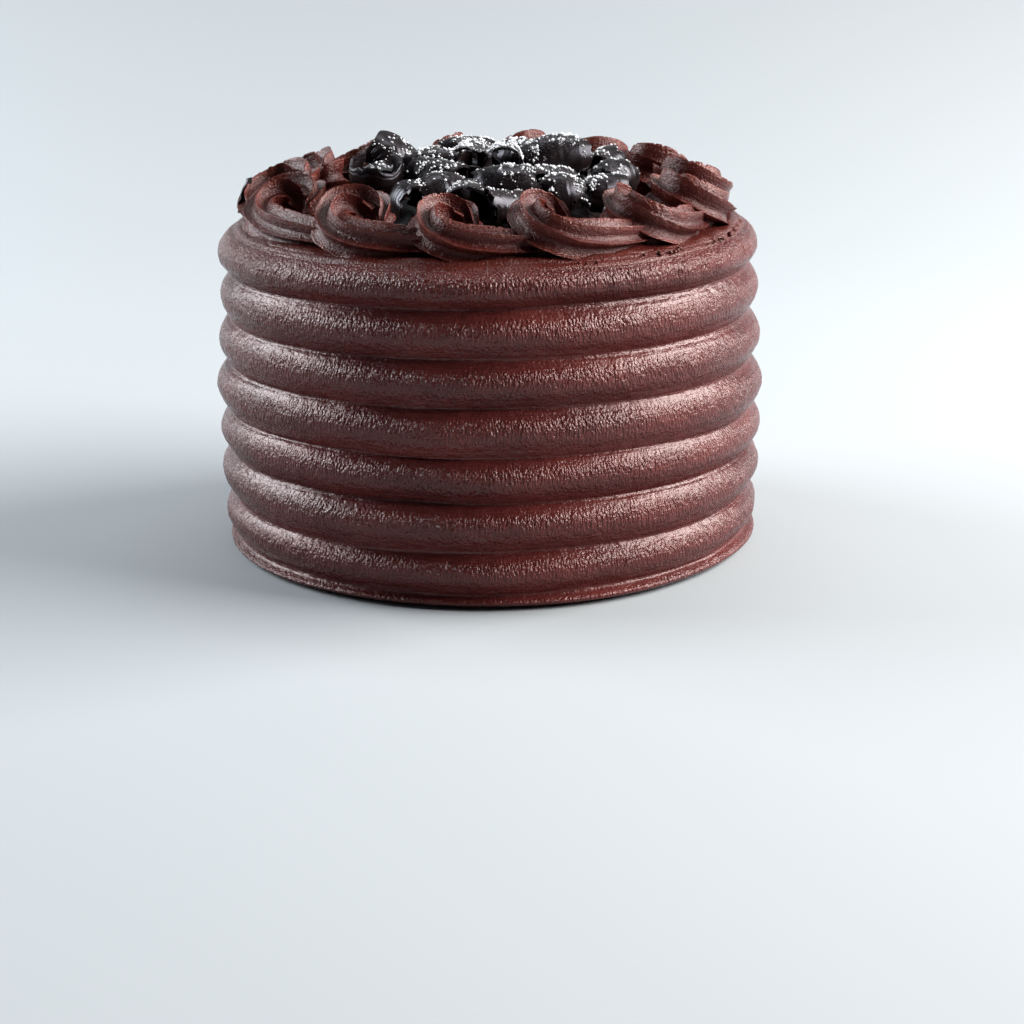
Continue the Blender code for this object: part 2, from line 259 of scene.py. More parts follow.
def makePipedFinish():
    # piped buttercream: drag lines along the rope, pits all over, paler on the rib crests as a painted
    # highlight (so the troughs read as painted shade), and paler where the crests tore
    look = pipedLook
    finish, tree, shader = newFinish("piped_icing")
    place = addNode(tree, "ShaderNodeTexCoord").outputs["Object"]
    along = addNode(tree, "ShaderNodeUVMap", {"uv_map": "alongRope"}).outputs[0]
    crest = pointNumber(tree, "crest")
    streaks = noiseOn(tree, along, 1.0, (2.0, 76.0, 1.0), 3.0, 0.6)
    pits = noiseOn(tree, place, 1300.0, (1.0, 1.0, 1.0), 2.0, 0.6)
    patches = noiseOn(tree, place, 60.0, (1.0, 1.0, 1.0), 2.0)
    patchPart = calculate(tree, "MULTIPLY", patches, 0.35)
    # painted highlight: the crest number lightens the rib crests and leaves the troughs darker as painted
    # shade; the torn places it also carries come out paler
    crestHighlightPart = calculate(tree, "MULTIPLY", crest, 0.55)
    tone = calculate(tree, "ADD", patchPart, crestHighlightPart)
    colour = blendColours(tree, remap(tree, tone, 0.12, 0.75), look["dark"], look["light"])
    tree.links.new(colour, shader.inputs["Base Color"])
    rough = remap(tree, streaks, 0.3, 0.7, look["roughLow"], look["roughHigh"])
    tree.links.new(rough, shader.inputs["Roughness"])
    bumps = bumpFrom(tree, streaks, 0.8, look["dragHeight"])
    bumps = bumpFrom(tree, pits, 0.9, look["pitHeight"], bumps)
    tree.links.new(bumps, shader.inputs["Normal"])
    shader.inputs["IOR"].default_value = look["ior"]
    shader.inputs["Specular Tint"].default_value = look["glossTint"]
    return finish


curlLook = {
    "dark": (0.0050, 0.0030, 0.0033, 1.0),
    "light": (0.0125, 0.0070, 0.0066, 1.0),
    "dust": (0.62, 0.63, 0.66, 1.0),
    "roughLow": 0.24,
    "roughHigh": 0.40,
    "shavingHeight": 0.00020,
    "grainHeight": 0.00012,
    "ior": 1.36,
    "glossTint": (0.88, 0.85, 1.0, 1.0),
}


def makeCurlFinish():
    # thin dark chocolate with shaving marks, and a haze of fine sugar where the dust number is high
    look = curlLook
    finish, tree, shader = newFinish("dark_chocolate")
    place = addNode(tree, "ShaderNodeTexCoord").outputs["Object"]
    dust = pointNumber(tree, "dust")
    marks = pointNumber(tree, "shaving")
    mottle = noiseOn(tree, place, 180.0, (1.0, 1.0, 1.0), 3.0)
    specks = noiseOn(tree, place, 2100.0, (1.0, 1.0, 1.0), 2.0, 0.65)
    shownDust = calculate(tree, "MULTIPLY", remap(tree, specks, 0.57, 0.66, 0.0, 0.7), dust, True)
    body = blendColours(tree, remap(tree, mottle, 0.35, 0.7), look["dark"], look["light"])
    colour = blendColours(tree, shownDust, body, look["dust"])
    tree.links.new(colour, shader.inputs["Base Color"])
    rough = remap(tree, mottle, 0.3, 0.7, look["roughLow"], look["roughHigh"])
    rough = calculate(tree, "ADD", rough, calculate(tree, "MULTIPLY", shownDust, 0.4), True)
    tree.links.new(rough, shader.inputs["Roughness"])
    bumps = bumpFrom(tree, marks, 0.7, look["shavingHeight"])
    grain = noiseOn(tree, place, 700.0, (1.0, 1.0, 1.0), 3.0)
    bumps = bumpFrom(tree, grain, 0.5, look["grainHeight"], bumps)
    tree.links.new(bumps, shader.inputs["Normal"])
    shader.inputs["IOR"].default_value = look["ior"]
    shader.inputs["Specular Tint"].default_value = look["glossTint"]
    return finish


sugarLook = {"dark": (0.78, 0.79, 0.81, 1.0), "light": (0.93, 0.93, 0.94, 1.0), "rough": 0.7}


def makeSugarFinish():
    # matt white grains, a little greyer here and there
    look = sugarLook
    finish, tree, shader = newFinish("icing_sugar")
    place = addNode(tree, "ShaderNodeTexCoord").outputs["Object"]
    colour = blendColours(tree, noiseOn(tree, place, 900.0), look["dark"], look["light"])
    tree.links.new(colour, shader.inputs["Base Color"])
    shader.inputs["Roughness"].default_value = look["rough"]
    return finish


icingFinish = makeIcingFinish()
pipedFinish = makePipedFinish()
curlFinish = makeCurlFinish()
sugarFinish = makeSugarFinish()
print("finishes made")


# the combed side and flat top

cakeBody = {
    "topHeight": 0.1195,
    "valleys": (0.0, 0.0049, 0.0203, 0.0363, 0.0521, 0.0692, 0.0867, 0.1042),
    # how far each hollow climbs to the front
    "frontRise": (0.0, 0.0, 0.0, 0.0012, 0.0022, 0.003, 0.0025, 0.002),
    "crests": (0.1016, 0.1027, 0.1036, 0.1029, 0.1032, 0.1028, 0.1021),
    "ridgeDepth": 0.0044,
    "shoulderRadius": 0.1014,
    "shoulderCrest": 0.1118,
    "topRadius": 0.0935,
    "around": 480,
    "rowsPerRidge": 21,
    "footRows": 9,
    "shoulderRows": 14,
    "roundRows": 16,
    "crestShare": 0.52,
    "sideWave": 0.0005,
    "valleyWave": 0.0006,
    "lumps": 0.00022,
    "pebbles": 0.00013,
    "dragLines": 0.00010,
    "wrinkles": 0.00055,
    # the line where the comb skipped: height, wander and half width in mm, depth in m
    "tornHeight": 6.6,
    "tornWander": 0.5,
    "tornWidth": 0.55,
    "tornDepth": 0.0006,
    "nickRadius": 103.0,  # turns a nick's angle into mm along the side
    # small pits and nicks: degrees from the front, height, width, tallness and depth in mm
    "nicks": (
        (-47, 100.5, 0.9, 0.9, -0.5), (-44, 116, 3.5, 2.0, 0.5), (19, 89.5, 0.8, 0.6, 0.5),
        (15, 72, 0.9, 0.7, 0.6), (12, 61, 1.4, 0.5, 0.4), (52, 108.5, 0.9, 3.6, 0.7),
        (66, 117, 1.0, 3.2, 0.7), (38, 66, 0.8, 0.8, 0.5), (-8, 63, 1.1, 0.8, 0.5),
        (5, 55.5, 2.2, 0.7, 0.4), (-22, 49, 0.9, 0.6, 0.4), (31, 47, 0.7, 1.4, 0.5),
        (-61, 84, 1.0, 0.7, 0.4), (140, 75, 1.2, 0.8, 0.5), (-150, 92, 1.1, 1.6, 0.5),
        (-43, 115.3, 0.8, 3.2, -1.0), (-20, 108.5, 2.6, 0.5, 0.4), (-10, 109.2, 3.0, 0.5, 0.4),
        (100, 31, 0.9, 0.7, 0.5), (-110, 58, 1.0, 1.8, 0.5), (178, 44, 1.5, 0.6, 0.4),
    ),
}


def bandShape(share, crestShare):
    # 0 at both valleys and 1 at the crest: a power of a sine, straighter below and fuller above
    low = np.sin(np.pi / 2 * np.clip(share / crestShare, 0, 1)) ** 1.05
    high = np.sin(np.pi / 2 * np.clip((1 - share) / (1 - crestShare), 0, 1)) ** 0.85
    return np.where(share < crestShare, low, high)


def sideProfile():
    # radius, height, band number and crest weight of every row, from the base's edge to the top's edge
    spec = cakeBody
    radius, height, band, weight = [], [], [], []
    for number, crest in enumerate(spec["crests"]):
        low, high = spec["valleys"][number], spec["valleys"][number + 1]
        count = spec["rowsPerRidge"] if number else spec["footRows"]
        share = np.arange(count) / count
        bulge = bandShape(share, spec["crestShare"])
        radius.append(crest - spec["ridgeDepth"] * (1 - bulge))
        height.append(low + (high - low) * share)
        band.append(np.full(count, number))
        weight.append(smoothStep(0.45, 0.92, bulge) * (0.5 if number == 0 else 1.0))
    low, crestHeight = spec["valleys"][-1], spec["shoulderCrest"]
    share = np.arange(spec["shoulderRows"]) / spec["shoulderRows"]
    bulge = bandShape(share * spec["crestShare"], spec["crestShare"])
    radius.append(spec["shoulderRadius"] - spec["ridgeDepth"] * (1 - bulge))
    height.append(low + (crestHeight - low) * share)
    weight.append(smoothStep(0.45, 0.92, bulge))
    turn = np.pi / 2 * np.linspace(0, 1, spec["roundRows"])
    radius.append(spec["topRadius"] + (spec["shoulderRadius"] - spec["topRadius"]) * np.cos(turn))
    height.append(crestHeight + (spec["topHeight"] - crestHeight) * np.sin(turn))
    weight.append(np.full(spec["roundRows"], 0.9))
    band.append(np.full(spec["shoulderRows"] + spec["roundRows"], len(spec["crests"])))
    return tuple(np.concatenate(part) for part in (radius, height, band, weight))


def makeCakeBody():
    # x = r sin a, y = -r cos a; r is the band profile plus slow wander, lumps, drag lines and nicks
    spec = cakeBody
    radius, height, band, weight = sideProfile()
    around = np.linspace(0, 2 * np.pi, spec["around"], endpoint=False)[None, :]
    r, z, k, w = (part[:, None] for part in (radius, height, band, weight))
    cells = around / (2 * np.pi)
    wander = spec["sideWave"] * (np.sin(2 * around + 1.3 * k) + 0.5 * np.sin(5 * around + 2.1 * k))
    lift = spec["valleyWave"] * np.sin(around + 0.9 * k)
    climb = np.interp(z, (*spec["valleys"], spec["topHeight"]), (*spec["frontRise"], 0.0))
    lift = lift + climb * np.cos(around)
    lift = lift + 0.0003 * valueNoise(cells * 24, k * 3.7, 5, 24)
    level = smoothStep(0.0, 0.004, z) * (1 - smoothStep(spec["topHeight"] - 0.004, spec["topHeight"], z))
    lumps = spec["lumps"] * valueNoise(cells * 40, z * 160, 7, 40)
    lumps = lumps + 0.5 * spec["lumps"] * valueNoise(cells * 96, z * 330, 8, 96)
    pebbles = spec["pebbles"] * valueNoise(cells * 240, z * 420, 9, 240) * w
    wrinkles = valueNoise(cells * 170, z * 90, 10, 170) * smoothStep(0.106, 0.112, z)
    wrinkles = wrinkles * smoothStep(-0.2, 0.5, valueNoise(cells * 9, 2.0, 12, 9))
    pebbles = pebbles + spec["wrinkles"] * wrinkles
    drag = spec["dragLines"] * valueNoise(cells * 18, z * 1500, 11, 18) * (1 - w)
    dents = np.zeros(np.broadcast(r, around).shape)
    for angle, tall, wide, deep, depth in spec["nicks"]:
        offset = (around - math.radians(angle) + np.pi) % (2 * np.pi) - np.pi
        upGap = (z * 1000 - tall) / deep
        acrossGap = offset * spec["nickRadius"] / wide - 0.6 * (z * 1000 - tall) / deep
        dents += depth / 1000 * np.exp(-(acrossGap**2 + upGap**2))
    # the torn line where the comb skipped in the lowest hollow, broken along its length
    fromLine = z * 1000 - spec["tornHeight"] - spec["tornWander"] * valueNoise(cells * 30, 0.0, 13, 30)
    torn = np.exp(-(fromLine / spec["tornWidth"]) ** 2)
    torn = torn * smoothStep(-0.1, 0.35, valueNoise(cells * 44, 4.0, 14, 44)) * spec["tornDepth"]
    reach = r - 0.00025 + wander + (lumps + pebbles + drag) * level - dents - torn
    rise = z + lift * level
    side = np.stack((reach * np.sin(around), -reach * np.cos(around), rise), axis=2)
    # flat base inwards from the edge, and the spatula-smoothed top inwards to the middle
    def disc(shares, start, tall, dips):
        edge = start[None, :] * np.array(shares)[:, None]
        flat = np.full(edge.shape, tall) - dips * (0.5 + 0.5 * valueNoise(edge * 60 + 40, cells * 9, 15))
        return np.stack((edge * np.sin(around), -edge * np.cos(around), flat), axis=2)
    base = disc((0.2, 0.6, 0.97), reach[0], 0.0, 0.0)
    topShares = (0.985, 0.95, 0.9, 0.84, 0.76, 0.66, 0.5, 0.3, 0.1)
    top = disc(topShares, reach[-1], spec["topHeight"] - 0.00005, 0.0004)
    rings = np.concatenate((base, side, top))
    rowWeight = np.concatenate((np.zeros(len(base)), weight, np.full(len(top), 0.4)))
    combed = np.concatenate((np.repeat(rowWeight, spec["around"]), (0.0, 0.4)))
    points = withPoles(rings)
    faces = facingOut(points, tubeFaces(len(rings), spec["around"]))
    body = addPiece("combed_body", points, faces, icingFinish, {"combed": combed})
    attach(body, "root")
    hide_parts("cake_body")


makeCakeBody()
print("combed body made")


# the ring of piped swirls

swirls = {
    "ringRadius": 0.0752,
    "angles": (
        -67.0, -33.5, -6.0, 20.0, 48.0, 75.0, 100.0,
        125.0, 149.5, 174.0, 198.5, 222.5, 247.0, 269.5,
    ),
    "stations": 250,
    "ribs": 7,
    "spokesPerRib": 12,
    "troughDepth": 0.42,
    "troughPower": 0.72,
    "ribTwist": -115.0,
    "tailReach": 0.0075,
    "lean": 0.10,
    "tear": 0.0007,
    "drag": 0.00016,
    "footReach": 0.0030,
    "backLift": 0.055,  # half of what a swirl at the very back is taller by
}


def swirlRows(nextGap):
    # the rope's way: along the ring, outwards, axis height, half width and half height, in mm
    tail = (nextGap - swirls["tailReach"]) * 1000
    return (
        (3.5, -2.0, 8.0, 2.2, 5.0),
        (0.5, -8.0, 11.2, 4.8, 9.0),
        (-7.4, -7.4, 11.8, 6.6, 10.8),
        (-12.2, 0.6, 10.8, 7.8, 11.6),
        (-8.8, 8.6, 8.6, 7.9, 9.8),
        (-0.5, 10.8, 7.0, 7.8, 8.0),
        (0.5 * (tail + 1.0), 9.6, 6.0, 6.9, 7.2),
        (tail, 6.6, 5.0, 5.0, 5.6),
    )


def makeSwirl(number):
    # a rope on a Catmull-Rom path; its section is r = half size * (1 - depth * sin(pi * t)^power),
    # t running from 0 to 1 between two crests, turned slowly along the rope so the crests lean
    spec = swirls
    count, perRib, ribs = spec["stations"], spec["spokesPerRib"], spec["ribs"]
    spokes = perRib * ribs
    turn = math.radians(spec["angles"][number])
    after = math.radians(spec["angles"][(number + 1) % len(spec["angles"])])
    nextGap = ((after - turn) % (2 * math.pi)) * spec["ringRadius"]
    size = 1.0 + 0.035 * math.sin(2.4 * number + 0.7)
    tallness = 0.975 - 0.02 * math.sin(3.1 * number + 1.9) + spec["backLift"] * (1 - math.cos(turn))
    share = np.linspace(0, 1, count)
    rows = smoothThrough(swirlRows(nextGap), share) / 1000
    along, outward = rows[:, 0] * size, rows[:, 1] * size
    outward = outward - along**2 / (2 * spec["ringRadius"]) * (along > 0)
    slopeAlong, slopeOut = np.gradient(along), np.gradient(outward)
    pace = np.hypot(slopeAlong, slopeOut)
    sideAlong, sideOut = -slopeOut / pace, slopeAlong / pace
    length = np.concatenate(([0.0], np.cumsum(pace[1:])))
    within = np.tile((1 - np.cos(np.pi * np.arange(perRib) / perRib)) / 2, ribs)[None, :]
    rib = np.repeat(np.arange(ribs), perRib)[None, :]
    angle = 2 * np.pi * (rib + within) / ribs
    twist = math.radians(spec["ribTwist"]) * smoothStep(0.12, 0.88, share[:, None])
    crest = (1 - np.sin(np.pi * within)) ** 3 * np.ones((count, 1))
    section = 1.0 - spec["troughDepth"] * np.sin(np.pi * within) ** spec["troughPower"]
    steps = length[:, None] * 1000
    waver = 1 + 0.035 * valueNoise(steps / 9, number * 5.3, 21)
    torn = valueNoise(steps / 1.5, rib * 9.7 + number * 3.1, 22)
    torn = torn + 0.6 * valueNoise(steps / 0.7, rib * 5.1, 23)
    torn = smoothStep(0.1, 1.1, torn) * crest
    drag = valueNoise(angle * spokes / (2 * np.pi) * 0.8, steps / 30 + number, 24, 256)
    taper = np.sqrt(np.clip(1 - (1 - np.clip(share / 0.035, 0, 1)) ** 2, 0.0004, 1))[:, None]
    taper = taper * np.sqrt(np.clip(1 - (1 - np.clip((1 - share) / 0.03, 0, 1)) ** 2, 0.0004, 1))[:, None]
    lump = 1 + 0.02 * valueNoise(angle * 2, steps / 5 + 7.7 * number, 25)
    grow = drag * spec["drag"] - torn * spec["tear"]
    halfWidth = rows[:, 3:4] * size * section * waver * lump * taper + grow
    halfHeight = rows[:, 4:5] * tallness * section * waver * lump * taper + grow
    turned = angle + twist + spec["lean"] * crest
    across = halfWidth * np.cos(turned)
    above = rows[:, 2:3] * tallness + halfHeight * np.sin(turned)
    foot = smoothStep(0.0028, -0.001, above)
    foot = foot * (1 + 0.8 * valueNoise(steps / 3.1, number * 2.3, 26))
    across = across + spec["footReach"] * foot * np.sign(across)
    ringAlong = along[:, None] + sideAlong[:, None] * across
    ringOut = spec["ringRadius"] + outward[:, None] + sideOut[:, None] * across
    rise = cakeBody["topHeight"] + np.maximum(above, 0.0003)
    x = ringAlong * math.cos(turn) + ringOut * math.sin(turn)
    y = ringAlong * math.sin(turn) - ringOut * math.cos(turn)
    rings = np.stack((x, y, rise), axis=2)
    points = withPoles(rings)
    faces = facingOut(points, tubeFaces(count, spokes))
    # the crest number for the finish: painted highlight along the rib crests (the troughs stay darker as
    # painted shade), plus the paler torn places
    crestHighlightAndTear = np.concatenate((np.clip(crest * 0.55 + torn * 1.2, 0, 1).ravel(), (0.3, 0.3)))
    # the rope's own map: length in centimetres, then around from 0 to 1
    ropeUv = np.zeros((count * spokes + 2, 2))
    ropeUv[:-2, 0] = (np.ones((count, 1)) * length[:, None] * 100 + 0 * angle).ravel()
    ropeUv[:-2, 1] = (np.ones((count, 1)) * (angle / (2 * np.pi))).ravel()
    ropeUv[-2], ropeUv[-1] = (0.0, 0.5), (length[-1] * 100, 0.5)
    corners = np.concatenate([block.ravel() for block in faces])
    cornerUv = ropeUv[corners]
    quadUv = cornerUv[: faces[0].size].reshape(-1, 4, 2)
    wrapped = (quadUv[:, :, 1].max(axis=1) - quadUv[:, :, 1].min(axis=1)) > 0.5
    quadUv[wrapped, :, 1] += (quadUv[wrapped, :, 1] < 0.5) * 1.0
    cornerUv[: faces[0].size] = quadUv.reshape(-1, 2)
    name = f"piped_swirl_{number + 1:02d}"
    swirl = addPiece(name, points, faces, pipedFinish, {"crest": crestHighlightAndTear}, None, cornerUv)
    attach(swirl, "root")
    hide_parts(f"rosette_{number + 1:02d}")


for number in range(len(swirls["angles"])):
    makeSwirl(number)
print("piped swirls made")


smears = {
    # edge radius, wander, thickness, seed
    "layers": ((0.0962, 0.0009, 0.0010, 31), (0.0949, 0.0010, 0.0018, 32), (0.0936, 0.0010, 0.0026, 33)),
    "inner": 0.080,
    "around": 720,
    "across": 12,
}


def makeSmears():
    # thin feet of piped icing dragged out on the flat top: a closed wedge whose outer edge wanders,
    # height = surface + thickness * (1 - share^14), the underside 0.5 mm inside the icing
    spec = smears
    points, faces = [], []
    around = np.linspace(0, 2 * np.pi, spec["around"], endpoint=False)[:, None]
    cells = around / (2 * np.pi)
    for edge, wander, thick, seed in spec["layers"]:
        slow = valueNoise(cells * 22, 0.0, seed, 22)
        quick = valueNoise(cells * 130, 3.0, seed, 130)
        reach = edge + wander * (slow + 0.2 * quick)
        share = 1 - (1 - np.linspace(0, 1, spec["across"])[None, :]) ** 1.8
        radius = spec["inner"] + (reach - spec["inner"]) * share
        shoulder = cakeBody["shoulderRadius"] - cakeBody["topRadius"]
        cosine = np.clip((radius - cakeBody["topRadius"]) / shoulder, 0, 1)
        fall = (cakeBody["topHeight"] - cakeBody["shoulderCrest"]) * (1 - np.sqrt(1 - cosine**2))
        surface = cakeBody["topHeight"] - 0.0001 - fall
        ridge = 1 + 0.25 * valueNoise(cells * 90, share * 4, seed + 4, 90)
        over = surface + thick * ridge * (1 - share**14)
        under = surface - 0.0005
        radius = np.concatenate((radius, radius[:, ::-1]), axis=1)
        height = np.concatenate((over, under[:, ::-1]), axis=1)
        grid = np.stack((radius * np.sin(around), -radius * np.cos(around), height), axis=2)
        rows, cols = grid.shape[:2]
        row, col = np.arange(rows)[:, None], np.arange(cols)[None, :]
        nextRow, nextCol = (row + 1) % rows * cols, (col + 1) % cols
        quads = np.stack((row * cols + col, row * cols + nextCol, nextRow + nextCol, nextRow + col), axis=2)
        block = facingOut(grid.reshape(-1, 3), [quads.reshape(-1, 4)])[0]
        faces.append(block + sum(len(part) for part in points))
        points.append(grid.reshape(-1, 3))
    points = np.concatenate(points)
    faces = np.concatenate(faces)
    rims = np.full(len(points), 0.25)
    outward = np.hypot(points[:, 0], points[:, 1]) * 100
    uv = np.stack((outward, np.arctan2(points[:, 0], points[:, 1])), axis=1)
    smear = addPiece("icing_smears", points, [faces], pipedFinish, {"crest": rims}, None, uv[faces.ravel()])
    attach(smear, "root")


makeSmears()
print("icing smears made")


crumbs = {
    "count": 130,
    "smallest": 0.0003,
    "largest": 0.0011,
    "frontShare": 0.75,
    "from": 20.0,
    "to": 80.0,
    "ringRadius": 0.0925,
    "ringSpread": 0.0035,
    "rings": 6,
    "spokes": 8,
}


def makeCrumbs():
    # torn flecks of icing on the outer flanks of the swirls, most of them at the front right:
    # small balls of a few rings and spokes, each point pushed in or out by up to 30 %
    spec = crumbs
    random = np.random.default_rng(91)
    count = spec["count"]
    front = random.uniform(0, 1, count) < spec["frontShare"]
    nearFront = random.uniform(spec["from"], spec["to"], count)
    anywhere = random.uniform(0, 360, count)
    angle = np.radians(np.where(front, nearFront, anywhere))
    radius = spec["ringRadius"] + spec["ringSpread"] * random.uniform(-1, 1, count)
    scale = spec["smallest"] + (spec["largest"] - spec["smallest"]) * random.uniform(0, 1, count) ** 2
    ringCount, spokeCount = spec["rings"], spec["spokes"]
    rings = np.linspace(0, np.pi, ringCount)[None, :, None]
    spokes = np.linspace(0, 2 * np.pi, spokeCount, endpoint=False)[None, None, :]
    bulge = 1 + random.uniform(-0.3, 0.3, (count, ringCount, spokeCount))
    bulge[:, 0], bulge[:, -1] = 1.0, 1.0
    size = scale[:, None, None] * bulge
    x = size * np.sin(rings) * np.cos(spokes) * 1.3
    y = size * np.sin(rings) * np.sin(spokes)
    z = size * np.cos(rings) * 0.8 + 0 * spokes
    height = cakeBody["topHeight"] + 0.0006 + 0.3 * scale
    grid = np.stack((
        x + (radius * np.sin(angle))[:, None, None], y - (radius * np.cos(angle))[:, None, None],
        z + height[:, None, None]), axis=3)
    ring = np.arange(ringCount - 1)[:, None] * spokeCount
    spoke = np.arange(spokeCount)[None, :]
    at, after = ring + spoke, ring + (spoke + 1) % spokeCount
    quads = np.stack((at, at + spokeCount, after + spokeCount, after), axis=2).reshape(-1, 4)
    faces = (quads[None] + ringCount * spokeCount * np.arange(count)[:, None, None]).reshape(-1, 4)
    points = grid.reshape(-1, 3)
    faces = facingOut(points, [faces])[0]
    tones = np.full(len(points), 0.5)
    uv = points[faces.ravel(), :2] * 100
    flecks = addPiece("icing_flecks", points, [faces], pipedFinish, {"crest": tones}, None, uv)
    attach(flecks, "root")


makeCrumbs()
print("flecks made")


# the heap of chocolate curls

curls = {
    "along": 17,
    "around": 26,
    "wall": 0.0010,
    "reach": 0.0585,
    "jag": 0.0023,
    # in mm and degrees: x, y, axis height, radius, length, sweep, heading, pitch, roll
    "shown": (
        (-7, -50, 132, 10.5, 15, 250, 90, 0, 0), (-17, -37, 134.5, 9.5, 20, 250, 35, 5, 0),
        (8, -33, 136.5, 11, 23, 240, -12, -3, -8), (27, -35, 133.5, 9.3, 17, 240, 20, 0, 5),
        (-29, -45, 133, 8.8, 12, 240, 110, 0, 0), (44, -25, 134, 7.5, 18, 250, 30, 0, 0),
        (48, -7, 135, 9, 20, 240, 60, 0, 0), (-4.7, -10.5, 137.2, 7.2, 18, 340, -90, -67, 180),
        (-21.5, -6, 142, 7, 20, 300, 3, 0, 30), (-40, -21, 140.5, 10, 12, 300, -90, -70, 180),
        (-37, 15, 132.5, 20, 19, 84, 20, -6, 34), (-7, 30, 140, 9, 18, 250, 5, 0, 0),
        (12, 22, 139.5, 8, 18, 250, -25, 8, 0), (26, 8, 141, 11, 24, 240, 10, -6, 0),
        (24, -4, 134.5, 7.5, 20, 280, 5, 0, 0), (43, 16, 137, 6, 10, 320, 80, 0, 0),
        (50, 22, 136, 8, 18, 200, 50, -15, 0), (12, -16, 137, 6, 14, 280, 60, 10, 0),
    ),
    # open ends that stay clear of other curls, in mm: x, y, clear distance
    "openMouths": ((-4.7, -14.0, 16.5), (-40.0, -24.0, 12.0), (-7.0, -54.0, 12.0)),
    "flakeSweep": 150,  # a strip that turns less than this, in degrees, is a flake
    "uprightPitch": -60,  # a tube steeper than this stands open upwards
    "endOnHeading": 70,  # a tube turned more than this shows its open end
    "barrel": 0.34,
    "barrelFrom": 0.0068,  # smaller rolls stay nearly straight
    "fillSpots": 64,
    "fillReach": 0.0515,
    "fillClear": 0.0138,
    "smallSpots": 46,
    "smallReach": 52,
}


def nearMouth(x, y):
    # whether a spot in mm is in the clear place at the open mouth of a curl that shows
    return any(math.hypot(x - keep[0], y - keep[1]) < keep[2] for keep in curls["openMouths"])


def fillCurls():
    # the curls that the front of the heap hides, clear of those that show, on a sunflower layout:
    # reach = edge * sqrt(number / count), each turned 137.5 degrees on from the one before
    rows = []
    for spot in range(curls["fillSpots"]):
        reach = curls["fillReach"] * math.sqrt((spot + 1) / curls["fillSpots"])
        turn = spot * math.radians(137.508)
        x, y = reach * math.cos(turn), reach * math.sin(turn)
        taken = [math.hypot(x - row[0] / 1000, y - row[1] / 1000) for row in (*curls["shown"], *rows)]
        if min(taken) < curls["fillClear"] or nearMouth(x * 1000, y * 1000):
            continue
        rows.append((
            x * 1000, y * 1000, 141.0 - 9.0 * (reach / curls["fillReach"]) ** 2,
            8.2 + 1.3 * math.sin(2.3 * spot), 20 + 3 * math.sin(1.1 * spot),
            240 + 30 * math.sin(2.9 * spot),
            math.degrees(turn) + 90 + 30 * math.sin(1.9 * spot), 8 * math.sin(spot), 0,
        ))
    return rows


def smallCurls():
    # short tight rolls and slivers that lie in the gaps, on a sunflower layout of their own
    spec = curls
    random = np.random.default_rng(31)
    rows = []
    for spot in range(spec["smallSpots"]):
        reach = spec["smallReach"] * math.sqrt((spot + 0.5) / spec["smallSpots"])
        turn = spot * 2.39996 + 0.7
        x, y = reach * math.cos(turn), reach * math.sin(turn)
        if nearMouth(x, y):
            continue
        rows.append((
            x, y, 137.0 - 9.5 * (reach / spec["smallReach"]) ** 2 + random.uniform(-1, 2),
            random.uniform(2.6, 5.0), random.uniform(8, 16), random.uniform(120, 380),
            random.uniform(0, 360), random.uniform(-25, 25), random.uniform(-30, 30),
        ))
    return rows


